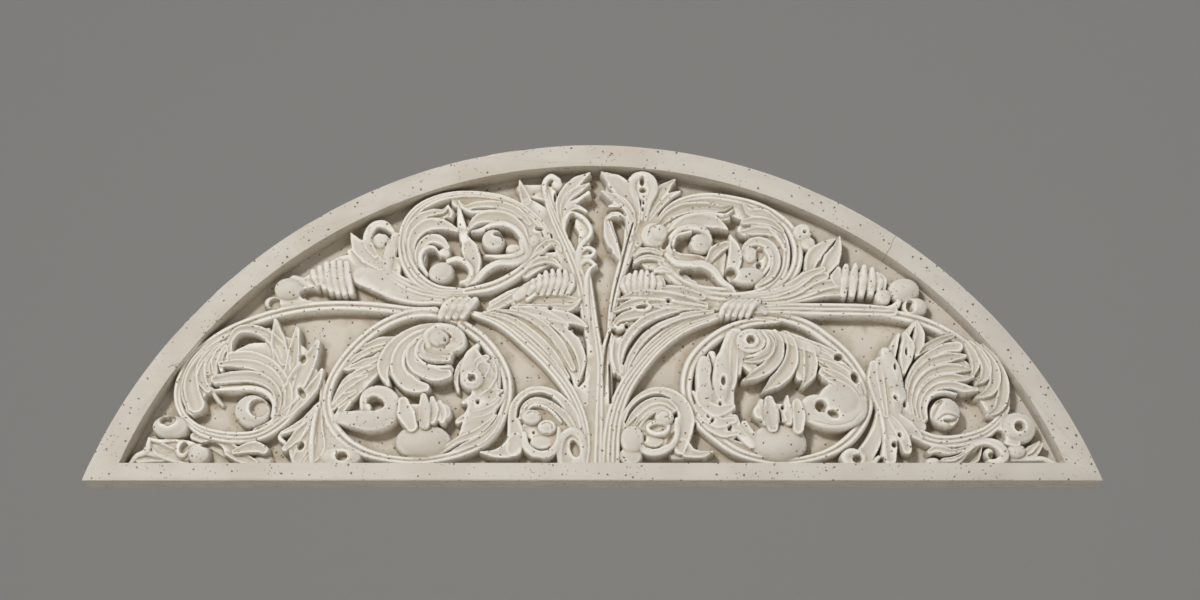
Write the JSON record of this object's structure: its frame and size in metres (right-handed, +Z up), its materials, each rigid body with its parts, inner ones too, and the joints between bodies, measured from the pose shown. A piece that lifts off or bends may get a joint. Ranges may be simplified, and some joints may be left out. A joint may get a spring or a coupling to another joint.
{
  "type": "carved lunette panel",
  "caption": "Arched limestone relief panel with a plain raised border round a sunk field of carved acanthus scrolls, made to be built into a wall over a doorway.",
  "frame": {"origin": "on the flat back, on the middle line, 0.20 m above the bottom edge", "axes": "+Z up the face, +X to the right as the face is seen, +Y out of the flat back into the wall, so the carving faces -Y"},
  "size_m": [1.5, 0.08, 0.5094],
  "materials": {
    "pale_limestone": "matt cream limestone with fine pits, tan dirt in the hollows and softened arrises"
  },
  "bodies": {
    "root": {"lunette_panel": "pale_limestone"}
  },
  "joints": []
}
